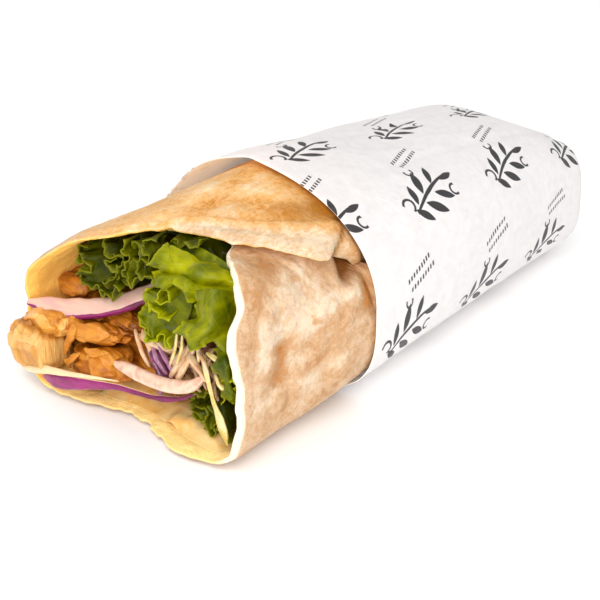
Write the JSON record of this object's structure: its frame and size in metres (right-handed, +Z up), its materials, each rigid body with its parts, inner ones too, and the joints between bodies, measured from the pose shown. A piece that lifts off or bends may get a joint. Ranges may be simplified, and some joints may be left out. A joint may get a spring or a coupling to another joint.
{
  "type": "chicken wrap",
  "caption": "Rolled flatbread filled with chicken, lettuce, red onion, cabbage slaw and sauce, open at the front, its back two thirds in a folded paper sleeve.",
  "frame": {"origin": "middle of the footprint, on the table it lies on", "axes": "+X along the roll from the open mouth to the folded end of the paper, +Z up"},
  "size_m": [0.1812, 0.0876, 0.0631],
  "materials": {
    "paper": "thin white greaseproof paper with a small dark printed pattern",
    "bread": "baked flatbread, toasted in patches",
    "sauce": "thin glossy sauce",
    "chicken": "moist cooked chicken",
    "slaw": "dressed shredded cabbage",
    "lettuce": "fresh lettuce leaf",
    "lettuce_dark": "dark lettuce leaf",
    "onion": "cut red onion",
    "onion_skin": "purple skin of a red onion",
    "cabbage": "white cabbage shred",
    "cabbage_purple": "red cabbage shred"
  },
  "bodies": {
    "root": {"paper_sleeve": "paper", "flatbread": "bread", "sauce": "sauce", "chicken_filling": "chicken", "slaw_filling": "slaw", "lettuce_filling": "lettuce", "onion_upper": "onion", "onion_lower": "onion_skin", "cabbage_thick": "cabbage", "cabbage_broad": "cabbage", "cabbage_long": "cabbage", "cabbage_purple": "cabbage_purple", "chicken_1": "chicken", "chicken_2": "chicken", "chicken_3": "chicken", "chicken_4": "chicken", "chicken_5": "chicken", "chicken_6": "chicken", "lettuce_far": "lettuce_dark", "lettuce_deep": "lettuce_dark", "lettuce_upper": "lettuce", "lettuce_middle": "lettuce", "lettuce_side": "lettuce", "lettuce_low": "lettuce_dark"}
  },
  "joints": []
}
